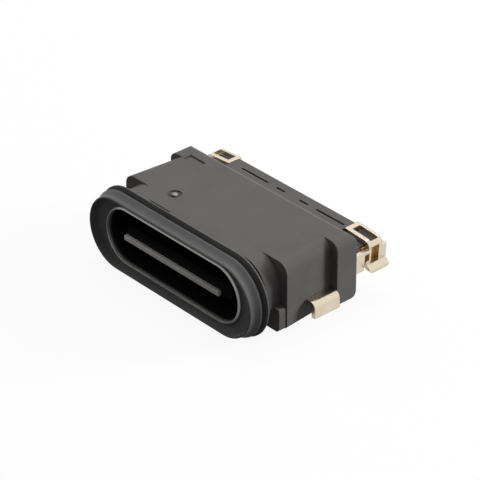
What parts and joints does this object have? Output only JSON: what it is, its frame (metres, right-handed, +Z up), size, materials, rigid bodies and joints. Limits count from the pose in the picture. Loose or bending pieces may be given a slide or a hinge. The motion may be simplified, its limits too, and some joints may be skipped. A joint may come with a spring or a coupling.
{
  "type": "usb-c socket",
  "caption": "Sealed USB-C socket for a board cut-out: moulded body with a soft sealing ring round the plug mouth, inner tongue with contacts, and bent solder legs at the sides.",
  "frame": {"origin": "middle of the bounding box, at the height of the lowest point of the soft ring", "axes": "+X across the mouth and the longest way, -Y the way the mouth faces, +Z up and the shortest way"},
  "size_m": [0.0112, 0.0082, 0.0039],
  "materials": {
    "housing_plastic": "satin dark grey moulding",
    "ring_rubber": "satin dark grey silicone",
    "shell_black": "drawn steel with a dull black coat",
    "plated_metal": "bright plating with a warm tint",
    "tongue_plastic": "satin dark grey moulding",
    "plate_steel": "stamped stainless steel",
    "rear_resin": "poured black resin",
    "contact_gold": "gold-plated copper alloy"
  },
  "bodies": {
    "root": {"housing": "housing_plastic", "seal_ring": "ring_rubber", "shell": "shell_black", "leg_left": "plated_metal", "leg_right": "plated_metal", "tab_left": "plated_metal", "tab_right": "plated_metal", "tongue": "tongue_plastic", "mid_plate": "plate_steel", "ground_plate_top": "plate_steel", "ground_plate_bottom": "plate_steel", "contact_carrier": "tongue_plastic", "rear_seal": "rear_resin", "contact_a1": "contact_gold", "contact_a2": "contact_gold", "contact_a3": "contact_gold", "contact_a4": "contact_gold", "contact_a5": "contact_gold", "contact_a6": "contact_gold", "contact_a7": "contact_gold", "contact_a8": "contact_gold", "contact_a9": "contact_gold", "contact_a10": "contact_gold", "contact_a11": "contact_gold", "contact_a12": "contact_gold", "contact_b1": "contact_gold", "contact_b2": "contact_gold", "contact_b3": "contact_gold", "contact_b4": "contact_gold", "contact_b5": "contact_gold", "contact_b6": "contact_gold", "contact_b7": "contact_gold", "contact_b8": "contact_gold", "contact_b9": "contact_gold", "contact_b10": "contact_gold", "contact_b11": "contact_gold", "contact_b12": "contact_gold"}
  },
  "joints": []
}
